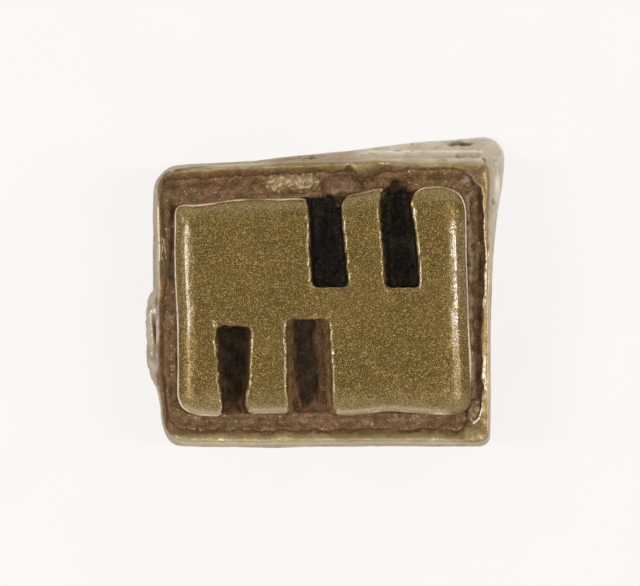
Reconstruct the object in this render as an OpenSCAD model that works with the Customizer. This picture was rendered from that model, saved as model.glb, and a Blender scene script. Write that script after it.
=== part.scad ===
// Akan gold weight: a small cast brass block for weighing gold dust on a hand balance.
// A raised tablet, notched by two slots from the back and two from the front, stands in a
// channel inside a low rim. The pieces are those of the wax model that was built up for the
// casting, with the beads of metal and the residues that lie in its hollows.
// Millimetres. +X is right, +Y is back, +Z is up, and the origin is on the underside,
// below the middle of the crown.

/* [Block] */
// Length of the crown, which is the outline of the block at its rim, left to right
crown_l = 18.7; // [15:0.1:24]
// Width of the crown at its right end, front to back
crown_w = 16.1; // [13:0.1:20]
// How much narrower the crown is at its left end
crown_taper = 0.65; // [0:0.05:1.5]
// Height of the block from its underside to the channel floor
block_h = 6.2; // [5:0.1:10]
// Corner rounding of the crown: back right, back left, front left, front right
crown_r = [0.9, 0.9, 1.7, 0.6]; // [0.5:0.05:2]

/* [Foot] */
// How far the foot spreads past the crown on the left
foot_left = 0.4; // [0.1:0.05:1]
// How far the foot spreads past the crown on the right
foot_right = 0.25; // [0.1:0.05:1]
// How far the foot spreads past the crown in front
foot_front = 0.35; // [0.1:0.05:1]
// How far the foot spreads past the crown at the back
foot_back = 0.3; // [0.1:0.05:1]
// Height of the upright edge of the foot
foot_h = 1; // [0.6:0.1:2]
// Height at which the flare of the foot has run out into the flank
waist_h = 4.4; // [2.5:0.1:4.8]
// Rounding of the bottom edge
foot_round = 0.3; // [0.1:0.05:0.45]

/* [Toe] */
// How far the toe at the back right corner reaches past the crown to the right
toe_x = 1.1; // [0.3:0.05:2]
// How far the toe reaches past the crown to the back
toe_y = 1.4; // [0.3:0.05:2]
// How far forward along the right flank the toe runs
toe_l = 8; // [3:0.1:10]
// Corner rounding of the toe
toe_r = 1.1; // [0.5:0.05:2]

/* [Rim] */
// Height of the rim above the channel floor
rim_h = 1.1; // [0.6:0.05:2]
// Width of the left rim strip
rim_left_w = 0.5; // [0.4:0.05:1]
// Width of the right rim strip
rim_right_w = 0.4; // [0.4:0.05:1]
// Width of the front rim strip
rim_front_w = 0.7; // [0.4:0.05:1.2]
// Width of the back rim strips
rim_back_w = 0.7; // [0.4:0.05:1.2]
// Rounding of the rim's two top edges
rim_round = 0.17; // [0.05:0.01:0.19]
// Where the two back rim strips meet, to the right of the middle
rim_joint_x = 1.7; // [-4:0.1:6]

/* [Channel] */
// Width of the channel on the left
channel_left_w = 0.65; // [0.4:0.05:1.5]
// Width of the channel on the right, at its front end
channel_right_w = 0.6; // [0.4:0.05:1.5]
// How much wider the right channel is at its back end
channel_right_widening = 0.3; // [0:0.05:1]
// Width of the channel in front
channel_front_w = 0.95; // [0.4:0.05:1.5]
// Width of the channel at the back, at its right end
channel_back_w = 0.95; // [0.4:0.05:1.5]
// How much wider the back channel is at its left end
channel_back_widening = 0.5; // [0:0.05:1]
// Thickness of the earthy crust on the channel floor
crust_h = 0.25; // [0.1:0.05:0.5]

/* [Tablet] */
// Height of the tablet above the channel floor
tablet_h = 1.7; // [1:0.1:2.5]
// How far the rounding of the tablet's top edge reaches in from its side
tablet_round = 1.1; // [0.2:0.05:1.3]
// How far that rounding reaches down from the top
tablet_drop = 0.75; // [0.1:0.05:0.9]
// How far the tablet's wall leans outward down to its foot
tablet_lean = 0.12; // [0.02:0.01:0.2]
// Corner rounding of the tablet: back right, back left, front left, front right
tablet_r = [1.3, 0.9, 1.3, 1.1]; // [0.5:0.05:2]

/* [Slots] */
// Middle of each slot's closed end, left to right: back left, back right, front left, front right
slot_end_x = [0.5, 4.7, -5.05, -0.85]; // [-6:0.05:6]
// Where each slot's closed end lies from front to back
slot_end_y = [0.75, 0.7, -1.5, -1.1]; // [-3:0.05:3]
// Middle of each slot's mouth, left to right
slot_mouth_x = [0.05, 4.3, -4.95, -0.6]; // [-6:0.05:6]
// Width of each slot's floor at its closed end
slot_end_w = [1.6, 1.2, 1.45, 1.2]; // [0.7:0.05:2]
// Width of each slot's floor at its mouth
slot_mouth_w = [1.3, 1.1, 0.85, 1.4]; // [0.7:0.05:2]
// How far each slot's left wall leans out, from the floor up to the top of the tablet
slot_lean_left = [0.3, 0.6, 0.2, 0.6]; // [0.05:0.05:0.8]
// How far each slot's right wall leans out
slot_lean_right = [0.15, 0.15, 0.3, 0.6]; // [0.05:0.05:0.8]
// Corner rounding of a slot
slot_r = 0.25; // [0.05:0.05:0.3]
// Rounding of the tablet's corner on the left of each slot's mouth
mouth_r_left = [0.4, 0.2, 0.3, 0.3]; // [0.05:0.05:1.1]
// Rounding of the tablet's corner on the right of each slot's mouth
mouth_r_right = [0.9, 1, 0.5, 0.35]; // [0.05:0.05:1.1]
// Depth of the pocket that each slot cuts into the block, below the channel floor
pocket_depth = 0.8; // [0.45:0.05:1.5]
// Thickness of the charcoal residue in each pocket
residue_h = 0.35; // [0.1:0.05:0.4]

/* [Beads] */
// Middle of the left bead of metal in the back channel, left to right
left_bead_x = -1.9; // [-5:0.05:0]
// Length and width of the left bead
left_bead_size = [2.4, 1.1]; // [0.6:0.05:4]
// Height of the left bead above the crust
left_bead_h = 0.6; // [0.2:0.05:0.8]
// Middle of the right bead in the back channel, left to right
right_bead_x = 1.1; // [0.5:0.05:5]
// Length and width of the right bead
right_bead_size = [2.3, 1.8]; // [0.6:0.05:4]
// Height of the right bead above the crust
right_bead_h = 0.7; // [0.2:0.05:0.8]
// How far the bead in the right channel lies behind the tablet's front edge
corner_bead_y = 0.25; // [0:0.05:3]
// Length and width of the corner bead
corner_bead_size = [1, 1.3]; // [0.6:0.05:4]
// Height of the corner bead above the crust
corner_bead_h = 0.55; // [0.2:0.05:0.8]

/* [Sprue] */
// Middle of the sprue stub on the left flank, from front to back
stub_y = -2; // [-3:0.1:3]
// Length of the stub along the flank
stub_l = 5.9; // [2:0.1:8]
// Height of the stub
stub_h = 2.8; // [1.8:0.1:3.2]
// Height of the stub's middle above the underside
stub_z = 2.9; // [2:0.1:3.2]
// How far the stub stands out from the flank
stub_reach = 0.4; // [0.1:0.05:0.8]
// Rounding of the stub's edge
stub_round = 0.6; // [0.2:0.05:0.8]

/* [Hidden] */

// Indexes of the corners of an outline, anticlockwise, and of the slots in the lists above
BACK_RIGHT = 0;
BACK_LEFT = 1;
FRONT_LEFT = 2;
FRONT_RIGHT = 3;
SLOT_BACK_LEFT = 0;
SLOT_BACK_RIGHT = 1;
SLOT_FRONT_LEFT = 2;
SLOT_FRONT_RIGHT = 3;

// Colours
brass = [0.55, 0.46, 0.28];
tablet_brass = [0.47, 0.38, 0.19];
bead_brass = [0.52, 0.43, 0.29];
crust_brown = [0.43, 0.33, 0.23];
charcoal_black = [0.12, 0.1, 0.08];

// Steps in a rounded corner, in a rounded edge and in the flare of the foot
corner_steps = 6;
edge_steps = 4;
flare_steps = 5;
// Degrees in a right angle
right_angle = 90;
// Least rounding of any corner
least_r = 0.04;
// How far a cutting shape runs past what it cuts
overcut = 1;
// How far the cut that rounds a corner runs past that corner
mouth_clear = 0.3;
// How far the top of the toe lies inside the flank that it grows from
toe_sink = 0.25;
// How far the sprue stub runs into the block before it is trimmed to the flank
stub_sink = 1;

// Levels above the underside
floor_z = block_h;
rim_z = floor_z + rim_h;
tablet_z = floor_z + tablet_h;
pocket_z = floor_z - pocket_depth;
crust_z = floor_z + crust_h;

// Corners of each outline
crown = [
    [crown_l / 2, crown_w / 2],
    [-crown_l / 2, crown_w / 2 - crown_taper],
    [-crown_l / 2, -crown_w / 2],
    [crown_l / 2, -crown_w / 2]
];
foot = crown
    + [
        [foot_right, foot_back], [-foot_left, foot_back],
        [-foot_left, -foot_front], [foot_right, -foot_front]
    ];
toe_start = [crown_r[BACK_LEFT], 0];
toe_end = crown[BACK_RIGHT] - [0, toe_l];
toe_foot = [crown[BACK_RIGHT] + [toe_x, toe_y], crown[BACK_LEFT] + toe_start, [0, 0], toe_end];
toe_top = [
    crown[BACK_RIGHT] - [toe_sink, toe_sink], crown[BACK_LEFT] + toe_start - [0, toe_sink],
    [0, 0], toe_end - [toe_sink, 0]
];
toe_radii = [toe_r, least_r, least_r, least_r];
recess = crown
    + [
        [-rim_right_w, -rim_back_w], [rim_left_w, -rim_back_w],
        [rim_left_w, rim_front_w], [-rim_right_w, rim_front_w]
    ];
recess_r = [for (r = crown_r) max(r - min(rim_left_w, rim_right_w), least_r)];
tablet_sides = recess
    + [
        [-channel_right_w - channel_right_widening, -channel_back_w],
        [channel_left_w, -channel_back_w - channel_back_widening],
        [channel_left_w, channel_front_w],
        [-channel_right_w, channel_front_w]
    ];

// A value or a list of corners part of the way from a to b
function between(a, b, share) = a + (b - a) * share;

function unit(v) = v / norm(v);

// Points of the arc that rounds corner b of an anticlockwise outline a, b, c
function corner_arc(a, b, c, r) =
    let (to_a = unit(a - b), to_c = unit(c - b))
    let (half = acos(to_a * to_c) / 2)
    let (centre = b + unit(to_a + to_c) * r / sin(half))
    let (start = b + to_a * r / tan(half) - centre)
    let (from = atan2(start[1], start[0]), sweep = 2 * (right_angle - half))
    [for (k = [0 : corner_steps])
        centre + r * [cos(from + sweep * k / corner_steps), sin(from + sweep * k / corner_steps)]];

// An outline of four corners, each rounded by its own radius, drawn in by an inset on every side
function outline(corners, radii, inset = 0) =
    let (drawn = corners + inset * [[-1, -1], [1, -1], [1, 1], [-1, 1]])
    [for (i = [0 : 3])
        let (r = max(radii[i] - inset, least_r))
        each corner_arc(drawn[(i + 3) % 4], drawn[i], drawn[(i + 1) % 4], r)];

// The same outline at a height, as one level of a loft
function level(z, corners, radii, inset = 0) =
    [for (p = outline(corners, radii, inset)) [p[0], p[1], z]];

// Levels of a rounded top edge, which draws in by run while it climbs by drop to z
function rounded_edge(z, corners, radii, run, drop) =
    [for (k = [0 : edge_steps])
        let (turn = right_angle * k / edge_steps)
        level(z - drop + drop * sin(turn), corners, radii, run * (1 - cos(turn)))];

// Where the line through a and b meets the line through c and d
function meeting(a, b, c, d) = a + (b - a) * cross(c - a, d - c) / cross(b - a, d - c);

// Whether a slot opens to the back
function opens_back(i) = i == SLOT_BACK_LEFT || i == SLOT_BACK_RIGHT;

// Corners of a slot at a height, anticlockwise from the back right, with its mouth past the tablet
function slot_sides(i, z) =
    let (share = (z - pocket_z) / (tablet_z - pocket_z), back = opens_back(i))
    let (mouth_y = back ? tablet_sides[BACK_RIGHT][1] + overcut : tablet_sides[FRONT_RIGHT][1] - overcut)
    let (end = [slot_end_x[i], slot_end_y[i]], end_half = [slot_end_w[i] / 2, 0])
    let (mouth = [slot_mouth_x[i], mouth_y], mouth_half = [slot_mouth_w[i] / 2, 0])
    let (left = [-slot_lean_left[i] * share, 0], right = [slot_lean_right[i] * share, 0])
    (back
        ? [mouth + mouth_half, mouth - mouth_half, end - end_half, end + end_half]
        : [end + end_half, end - end_half, mouth - mouth_half, mouth + mouth_half])
    + [right, left, left, right];

// Corners of the tablet's wall at a height
function wall_sides(z) =
    let (share = max((tablet_z - tablet_drop - z) / (tablet_h - tablet_drop), 0))
    tablet_sides + tablet_lean * share * [[1, 1], [-1, 1], [-1, -1], [1, -1]];

// What is cut off the tablet's corner beside a slot's mouth, at a height: side -1 is left and 1 is right
function mouth_corner(i, side, z) =
    let (slot = slot_sides(i, z), wall = wall_sides(z), back = opens_back(i))
    let (rear = side < 0 ? BACK_LEFT : BACK_RIGHT, near = side < 0 ? FRONT_LEFT : FRONT_RIGHT)
    let (end = slot[back ? near : rear], mouth = slot[back ? rear : near])
    let (left = wall[back ? BACK_LEFT : FRONT_LEFT], right = wall[back ? BACK_RIGHT : FRONT_RIGHT])
    let (corner = meeting(end, mouth, left, right), along = side < 0 ? left : right)
    let (edge_first = back == (side > 0), r = side < 0 ? mouth_r_left[i] : mouth_r_right[i])
    let (arc = corner_arc(edge_first ? along : end, corner, edge_first ? end : along, r))
    let (outside = corner - unit(unit(along - corner) + unit(end - corner)) * mouth_clear)
    [for (p = concat([for (k = [corner_steps : -1 : 0]) arc[k]], [outside])) [p[0], p[1], z]];

// How much of the foot's spread is left at a height: all of it at the foot, none at the waist
function spread_share(z) = pow(1 - min(max((z - foot_h) / (waist_h - foot_h), 0), 1), 2);

// Levels of the flare from the underside up to the waist
function flare(low, high, radii) =
    concat(
        [level(0, low, radii, foot_round), level(foot_round, low, radii)],
        [for (k = [0 : flare_steps])
            let (z = between(foot_h, waist_h, k / flare_steps))
            level(z, between(high, low, spread_share(z)), radii)]
    );

// The solid through a list of levels, lowest first
module loft(levels) {
    n = len(levels[0]);
    last = len(levels) - 1;
    sides = [for (i = [0 : last - 1], j = [0 : n - 1])
        let (k = (j + 1) % n)
        each [
            [i * n + j, (i + 1) * n + j, (i + 1) * n + k],
            [i * n + j, (i + 1) * n + k, i * n + k]
        ]];
    bottom = [[for (j = [0 : n - 1]) j]];
    top = [[for (j = [n - 1 : -1 : 0]) last * n + j]];
    polyhedron([for (l = levels) each l], concat(sides, bottom, top), convexity = 4);
}

// Everything between two heights
module slab(z_low, z_high) {
    reach = crown_l + crown_w;
    translate([-reach, -reach, z_low]) cube([2 * reach, 2 * reach, z_high - z_low]);
}

// The outside of the casting, from its underside to the crest of its rim
module flanks() {
    loft(concat(
        flare(foot, crown, crown_r),
        rounded_edge(rim_z, crown, crown_r, rim_round, rim_round)
    ));
}

// The toe, a wide splay of the foot at the back right corner
module toe() {
    loft(flare(toe_foot, toe_top, toe_radii));
}

// The hollow inside the rim, widened at its lip and open at the top
module recess_hollow() {
    loft([
        level(floor_z, recess, recess_r),
        level(rim_z - rim_round, recess, recess_r),
        level(rim_z, recess, recess_r, -rim_round),
        level(tablet_z + overcut, recess, recess_r, -rim_round)
    ]);
}

// The tablet before its slots are cut
module tablet_body() {
    loft(concat(
        [level(floor_z, tablet_sides, tablet_r, -tablet_lean)],
        rounded_edge(tablet_z, tablet_sides, tablet_r, tablet_round, tablet_drop)
    ));
}

// One slot as a solid, from its pocket's floor up through the tablet and out past its mouth
module slot_cut(i) {
    radii = [slot_r, slot_r, slot_r, slot_r];
    loft([
        level(pocket_z, slot_sides(i, pocket_z), radii),
        level(tablet_z, slot_sides(i, tablet_z), radii),
        level(tablet_z + overcut, slot_sides(i, tablet_z), radii)
    ]);
}

// What rounds off the tablet's two corners beside each slot's mouth
module mouth_roundings() {
    for (i = [SLOT_BACK_LEFT : SLOT_FRONT_RIGHT], side = [-1, 1])
        loft([for (z = [floor_z - overcut, tablet_z - tablet_drop, tablet_z + overcut])
            mouth_corner(i, side, z)]);
}

// The tablet with its corners rounded and its slots still closed
module rounded_tablet_body() {
    difference() {
        tablet_body();
        mouth_roundings();
    }
}

// The part of a slot that lies below the channel floor, inside the tablet's footprint
module pocket(i) {
    intersection() {
        slot_cut(i);
        translate([0, 0, pocket_z - overcut])
            linear_extrude(pocket_depth + overcut) polygon(outline(tablet_sides, tablet_r, -tablet_lean));
    }
}

// The solid block under the tablet and the rim
module base_block() {
    color(brass) difference() {
        union() {
            intersection() {
                flanks();
                slab(-overcut, floor_z);
            }
            toe();
        }
        for (i = [SLOT_BACK_LEFT : SLOT_FRONT_RIGHT]) pocket(i);
    }
}

// The sector of the block between two corners of the crown, as seen from above
module sector(from, to) {
    reach = 3;
    linear_extrude(tablet_z + overcut) polygon([[0, 0], reach * crown[from], reach * crown[to]]);
}

// One strip of the rim on top of the block, mitred at the corners of the crown
module rim_strip(from, to) {
    color(brass) intersection() {
        difference() {
            intersection() {
                flanks();
                slab(floor_z, rim_z + overcut);
            }
            recess_hollow();
        }
        sector(from, to);
    }
}

// The back rim on one side of the joint between its two strips: -1 is left and 1 is right
module rim_back_strip(side) {
    reach = crown_l + crown_w;
    intersection() {
        rim_strip(BACK_RIGHT, BACK_LEFT);
        translate([rim_joint_x + (side > 0 ? 0 : -reach), 0, 0]) cube([reach, reach, rim_z + overcut]);
    }
}

// The raised tablet with its four slots
module tablet() {
    color(tablet_brass) difference() {
        rounded_tablet_body();
        for (i = [SLOT_BACK_LEFT : SLOT_FRONT_RIGHT]) slot_cut(i);
    }
}

// The black remains of the mould at the bottom of one slot
module slot_residue(i) {
    color(charcoal_black) intersection() {
        pocket(i);
        slab(pocket_z - overcut, pocket_z + residue_h);
    }
}

// The brown crust on the floor of the channel
module channel_crust() {
    color(crust_brown) difference() {
        intersection() {
            recess_hollow();
            slab(floor_z - overcut, crust_z);
        }
        rounded_tablet_body();
        intersection() {
            tablet_body();
            for (i = [SLOT_BACK_LEFT : SLOT_FRONT_RIGHT]) slot_cut(i);
        }
    }
}

// A bead of metal that ran into the channel and lies on the crust, trimmed to the channel
module bead(middle, size, height) {
    half = min(size[0], size[1]) / 2;
    r = half - least_r;
    radii = [r, r, r, r];
    sides = [
        middle + size / 2, middle + [-size[0], size[1]] / 2,
        middle - size / 2, middle + [size[0], -size[1]] / 2
    ];
    color(bead_brass) difference() {
        intersection() {
            loft(rounded_edge(crust_z + height, sides, radii, r - least_r, height));
            recess_hollow();
        }
        tablet_body();
    }
}

// A bead in the back channel, against the rim
module back_bead(x, size, height) {
    share = (crown[BACK_RIGHT][0] - x) / crown_l;
    rim_y = between(recess[BACK_RIGHT][1], recess[BACK_LEFT][1], share);
    bead([x, rim_y - size[1] / 2], size, height);
}

// The bead in the front end of the right channel
module corner_bead() {
    middle_x = (recess[FRONT_RIGHT][0] + tablet_sides[FRONT_RIGHT][0]) / 2;
    bead([middle_x, tablet_sides[FRONT_RIGHT][1] + corner_bead_y], corner_bead_size, corner_bead_h);
}

// The stub of the sprue, cut down to a low pad on the left flank
module sprue_stub() {
    flank_x = -crown_l / 2 - foot_left * spread_share(stub_z);
    half_h = stub_h / 2;
    half_l = stub_l / 2;
    sides = [[half_h, half_l], [-half_h, half_l], [-half_h, -half_l], [half_h, -half_l]];
    r = half_h - least_r;
    radii = [r, r, r, r];
    color(brass) difference() {
        translate([flank_x, stub_y, stub_z]) rotate([0, -90, 0])
            loft(concat(
                [level(-stub_sink, sides, radii)],
                rounded_edge(stub_reach, sides, radii, stub_round, stub_reach)
            ));
        flanks();
    }
}

base_block();
rim_strip(FRONT_LEFT, FRONT_RIGHT);  // rim_front
rim_strip(BACK_LEFT, FRONT_LEFT);  // rim_left
rim_strip(FRONT_RIGHT, BACK_RIGHT);  // rim_right
rim_back_strip(-1);  // rim_back_left
rim_back_strip(1);  // rim_back_right
tablet();
slot_residue(SLOT_BACK_LEFT);  // slot_residue_back_left
slot_residue(SLOT_BACK_RIGHT);  // slot_residue_back_right
slot_residue(SLOT_FRONT_LEFT);  // slot_residue_front_left
slot_residue(SLOT_FRONT_RIGHT);  // slot_residue_front_right
channel_crust();
back_bead(left_bead_x, left_bead_size, left_bead_h);  // back_bead_left
back_bead(right_bead_x, right_bead_size, right_bead_h);  // back_bead_right
corner_bead();
sprue_stub();
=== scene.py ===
"""Looks of a small cast brass gold weight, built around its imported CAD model.

Shapes are worked in millimetres and turned into metres when a piece is placed.
"""

import math

import bmesh
import bpy
import numpy as np
from mathutils import Matrix, Vector, noise


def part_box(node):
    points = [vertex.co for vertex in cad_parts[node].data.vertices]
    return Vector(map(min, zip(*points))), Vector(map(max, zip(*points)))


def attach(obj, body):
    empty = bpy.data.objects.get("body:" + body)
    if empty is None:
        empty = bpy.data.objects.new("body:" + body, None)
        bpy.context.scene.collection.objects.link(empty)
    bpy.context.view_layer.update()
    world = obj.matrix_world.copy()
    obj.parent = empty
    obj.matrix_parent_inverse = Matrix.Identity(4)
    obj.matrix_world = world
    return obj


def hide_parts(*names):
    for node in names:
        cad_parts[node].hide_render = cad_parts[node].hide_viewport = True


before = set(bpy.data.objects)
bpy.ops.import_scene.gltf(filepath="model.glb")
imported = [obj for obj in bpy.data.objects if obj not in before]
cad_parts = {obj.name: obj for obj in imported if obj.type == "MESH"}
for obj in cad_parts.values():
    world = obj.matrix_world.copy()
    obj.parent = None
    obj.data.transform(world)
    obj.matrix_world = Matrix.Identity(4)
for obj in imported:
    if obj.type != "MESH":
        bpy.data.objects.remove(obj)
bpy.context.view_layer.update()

MM = 0.001
FLOOR_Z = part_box("base_block")[1].z / MM
RIM_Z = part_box("rim_left")[1].z / MM
TABLET_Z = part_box("tablet")[1].z / MM
SEAM_Z = FLOOR_Z + 0.03
RIM_JOINT_X = 1.7
RIM_SINK = 0.3
RIMS = ["rim_front", "rim_left", "rim_right", "rim_back_left", "rim_back_right"]

# Size of the faces that each kind of piece is rebuilt from
VOXELS = {"casting": 0.115, "tablet": 0.085, "residue": 0.07, "crust": 0.09, "bead": 0.055, "stub": 0.075}

# Corners of the crown, where the rim's strips are mitred
BACK_RIGHT = (9.35, 8.05)
BACK_LEFT = (-9.35, 7.4)
FRONT_LEFT = (-9.35, -8.05)
FRONT_RIGHT = (9.35, -8.05)

# Sides of the tablet, and how its right side leans in and its back side rises, per millimetre
TABLET_LEFT = -8.2
TABLET_RIGHT = 8.35
TABLET_FRONT = -6.4
TABLET_BACK = 5.25
TABLET_LEAN = 0.3 / 12.8
TABLET_RISE = 1.15 / 16.25

# Each slot: middle and width of its closed end, middle and width of its mouth, leans of its walls
SLOTS = {
    "back_left": ((0.5, 0.75), 1.6, (0.05, 6.4), 1.3, 0.3, 0.15),
    "back_right": ((4.7, 0.7), 1.2, (4.3, 6.4), 1.1, 0.6, 0.15),
    "front_left": ((-5.05, -1.5), 1.45, (-4.95, -6.4), 0.85, 0.2, 0.3),
    "front_right": ((-0.85, -1.1), 1.2, (-0.6, -6.4), 1.4, 0.6, 0.6),
}
# How far a slot's footprint goes past its closed end and its mouth
PAST_END = 0.45
PAST_MOUTH = 0.4
# How brown the walls of a slot are; the others are black
WALL_BROWNS = {"front_left": 0.3, "front_right": 1.0}
# Remains in each slot: rise against its walls, reach into them, and shift of the hollow between
BANKS = {
    "back_left": (0.1, 0.3, 0.0),
    "back_right": (0.34, 0.45, 0.0),
    "front_left": (0.4, 0.42, 0.0),
    "front_right": (0.6, 0.5, -0.15),
}

# Along each side: width of the rim, fall of its top to its inner edge, and width of its rubbed crest,
# which is also painted paler as a highlight
RIM_WIDTHS = {"left": 0.5, "right": 0.4, "front": 0.7, "back": 0.7}
RIM_SLOPES = {"left": 0.36, "right": 0.04, "front": 0.3, "back": 0.26}
CREST_WIDTHS = {"left": 0.22, "right": 0.06, "front": 0.54, "back": 0.3}
# How high the crust climbs against the tablet and against the rim on each side
TABLET_CLIMBS = {"left": 0.4, "right": 0.6, "front": 0.35, "back": 0.3}
CRUST_CLIMBS = {"left": 0.46, "right": 0.1, "front": 0.36, "back": 0.42}
# From where to where a dark crevice runs between the crust and the rim, along each side
CREVICES = {"left": (-2.5, 1.2), "right": (-5.5, 6.5), "front": (-1.0, 2.6), "back": (-1.6, 4.2)}
# How far in from the crown's edge the brown crust begins: places along each side, and distances
CRUST_STARTS = {
    "left": (
        [-8.0, -5.0, -3.5, -0.5, 1.0, 4.6, 5.6, 7.4],
        [-0.5, -0.4, -0.05, 0.08, 0.3, 0.26, -0.1, -0.1],
    ),
    "right": ([-8.0, 8.0], [0.36, 0.36]),
    "front": ([-9.0, -4.0, 0.0, 4.0, 6.5], [0.3, 0.42, 0.6, 0.68, 0.72]),
    "back": ([-9.0, -7.0, -4.0, -1.5, 2.0, 4.5, 7.5], [0.1, 0.18, 0.14, 0.26, 0.36, 0.26, 0.5]),
}
# Where soot spreads from the mouths of the back slots over the crust: middle and radii
SOOTY_MOUTHS = [((4.2, 6.25), (0.95, 0.7)), ((0.5, 5.6), (0.8, 0.5)), ((4.9, 5.5), (0.4, 0.5))]

# Painted highlights along edges of the rim from above: the curl at the front of the right side, and two
# on the left
PAINTED_HIGHLIGHT_LINES = [
    [
        (9.0, -5.15), (8.99, -5.6), (8.95, -6.05), (8.89, -6.31), (8.82, -6.61), (8.65, -6.83),
        (8.47, -6.94), (8.36, -6.79), (8.33, -6.68),
    ],
    [(-9.24, 5.2), (-9.2, 3.9), (-9.16, 2.8), (-9.16, 2.2)],
    [(-8.93, 3.4), (-8.86, 2.9), (-8.78, 2.45), (-8.76, 2.1)],
]
# A dark crease outside the rim at the back left corner
DARK_LINES = [[(-8.93, 7.03), (-8.26, 7.26), (-7.42, 7.42), (-6.6, 7.54)]]
# The painted highlight along the right side's inner edge: middle of its back corner, its front end,
# radius, and tilt at the line
INNER_TURN = (7.9, 5.9)
CURL_Y = -5.1
EDGE_RADIUS = 0.2
LINE_TILT = 0.5
# A distance that counts as away from every line
FAR = 9.0

# Unevenness of the outline: x and y, reach, and move in x and y
CASTING_PUSHES = [
    (-1.3, 7.9, 4.5, 0.0, 0.1),
    (9.7, 2.6, 2.4, 0.16, 0.0),
    (9.3, -4.5, 4.0, 0.06, 0.0),
    (-9.3, 3.0, 4.0, 0.06, 0.0),
    (-3.0, -8.0, 3.5, 0.0, -0.06),
]
# The same for the corners, which fades out towards the middle
CORNER_PUSHES = [
    (-9.4, -7.0, 1.5, 0.5, 0.0),
    (-9.4, -5.4, 1.2, 0.2, 0.0),
    (-9.4, 7.4, 0.8, 0.28, -0.2),
    (9.9, 6.9, 1.8, 0.2, 0.0),
    (5.0, 8.5, 2.0, 0.0, 0.1),
]
INNER_WALL_PUSHES = [
    (2.4, 7.1, 0.6, 0.0, -0.36),
    (8.95, 7.3, 1.0, -0.3, -0.55),
    (8.95, -7.35, 0.8, -0.62, 0.52),
    (8.95, -1.5, 4.0, -0.1, 0.0),
    (8.95, 3.4, 2.2, -0.14, 0.0),
    (8.95, -4.2, 1.6, -0.08, 0.0),
    (-6.0, -7.35, 3.0, 0.0, 0.1),
    (-1.0, -7.35, 3.0, 0.0, 0.12),
    (4.6, -7.35, 2.6, 0.0, 0.14),
]
BEAD_PUSHES = [
    (8.7, -5.9, 1.2, -0.2, -0.22),
    (-1.6, 6.5, 1.8, 0.22, 0.22),
]
TABLET_PUSHES = [
    (-4.6, 5.65, 2.2, 0.0, 0.18),
    (3.2, 6.2, 1.0, 0.0, 0.27),
    (6.0, 6.3, 1.2, 0.0, 0.16),
    (3.1, 6.35, 0.5, 0.3, 0.0),
    (3.1, 4.9, 1.4, -0.04, 0.0),
    (8.35, -4.0, 2.4, 0.1, 0.0),
    (-8.25, 2.8, 2.6, -0.15, 0.0),
    (-8.2, -4.2, 2.2, 0.03, 0.0),
    (3.8, -6.4, 1.1, 0.0, 0.12),
    (1.4, -6.4, 0.9, 0.0, -0.08),
    (7.0, -6.4, 1.2, 0.0, -0.08),
    (-6.2, -6.4, 1.2, 0.0, -0.15),
    (-4.2, -5.7, 0.8, -0.15, 0.0),
    (-8.05, 5.15, 0.6, -0.18, 0.18),
    (-8.1, -6.3, 0.6, -0.08, -0.08),
    (8.25, -6.3, 0.6, 0.08, -0.08),
    (7.95, 6.3, 0.6, 0.08, 0.08),
    (5.0, 5.5, 1.5, -0.2, 0.0),
    (-0.72, 5.72, 0.35, -0.1, -0.12),
]

# Larger pits of the toe: place from above, radii and depth
TOE_PITS = [
    ((8.2, 8.9), (0.5, 0.1), 0.1),
    ((7.4, 8.9), (0.4, 0.09), 0.09),
    ((6.5, 8.76), (0.3, 0.07), 0.07),
    ((9.2, 7.95), (0.16, 0.2), 0.12),
    ((4.3, 8.55), (0.3, 0.07), 0.08),
    ((2.9, 8.36), (0.3, 0.06), 0.07),
    ((9.78, 5.6), (0.1, 0.24), 0.14),
]

# Each bead: seed of its wrinkles, how red it is, how strong its painted glints are, depth of its
# wrinkles, and stretch
BEADS = {
    "back_bead_left": (51, 0.2, 0.4, 1.3, (1.25, 1.2, 0.9)),
    "back_bead_right": (54, 1.0, 0.15, 0.7, (1.0, 1.0, 1.0)),
    "corner_bead": (57, 0.85, 0.7, 0.45, (1.0, 1.2, 0.95)),
}

# Floor, in metres, and how far it lights itself
FLOOR_HALF = 0.9
FLOOR_GLOW = 0.86
# Strength of the even light at the horizon and straight above, and its colour
HORIZON_LIGHT = 0.92
ZENITH_LIGHT = 0.355
LIGHT_COLOUR = (1.0, 0.995, 0.985, 1.0)
# Each soft box: azimuth and angle from straight above in degrees, sides in metres, and radiance
SOFT_BOXES = {
    "left_box": (180.0, 32.0, (0.064, 0.22), 28.0),
    "right_box": (0.0, 28.0, (0.05, 0.22), 31.0),
}
BOX_DISTANCE = 0.6
SENSOR_WIDTH = 36.0
FOCAL_LENGTH = 301.3
CAMERA_PLACE = (-0.14, 0.392, 307.9)

# How far the pattern of the noise moves for each seed
NOISE_STEP = Vector((17.3, 5.7, 11.9))


def add_object(name, data):
    """A new object in the scene."""
    made = bpy.data.objects.new(name, data)
    bpy.context.scene.collection.objects.link(made)
    return made


def fetch(items, key, width, kind=np.float32):
    """A property of mesh elements as an array of rows."""
    out = np.empty(len(items) * width, kind)
    items.foreach_get(key, out)
    return out.reshape(-1, width)


def read(mesh):
    """Vertex positions as an array."""
    return fetch(mesh.vertices, "co", 3).astype(float)


def write(mesh, co):
    """Puts vertex positions back."""
    mesh.vertices.foreach_set("co", co.astype(np.float32).ravel())
    mesh.update()


def normals_of(mesh):
    """Vertex normals as an array."""
    return fetch(mesh.vertex_normals, "vector", 3).astype(float)


def edges_of(mesh):
    """Vertex pairs of the edges as an array."""
    return fetch(mesh.edges, "vertices", 2, np.int32)


def note(mesh, name, values):
    """Keeps a number per vertex for the materials."""
    mesh.attributes.new(name, "FLOAT", "POINT").data.foreach_set("value", values.astype(np.float32))


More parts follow.
